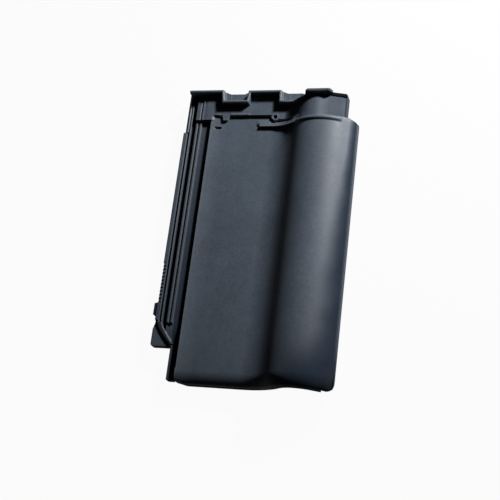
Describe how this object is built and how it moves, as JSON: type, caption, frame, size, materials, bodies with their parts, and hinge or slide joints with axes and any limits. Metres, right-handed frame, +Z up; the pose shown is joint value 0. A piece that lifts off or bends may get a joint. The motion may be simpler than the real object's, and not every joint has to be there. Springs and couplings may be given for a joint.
{
  "type": "interlocking clay roof tile",
  "caption": "Black engobed interlocking clay roof tile with a flat pan, a roll on the right, a water lock on the left and a raised head lock with a nail hole.",
  "frame": {"origin": "floor point under the middle of the tile's bounding box", "axes": "+Y up the slope from foot to head, +X from the water lock to the roll, +Z up from the floor"},
  "size_m": [0.275, 0.45, 0.059],
  "materials": {
    "engobed_clay": "satin slate engobe on fired clay"
  },
  "bodies": {
    "root": {"roof_tile": "engobed_clay"}
  },
  "joints": []
}
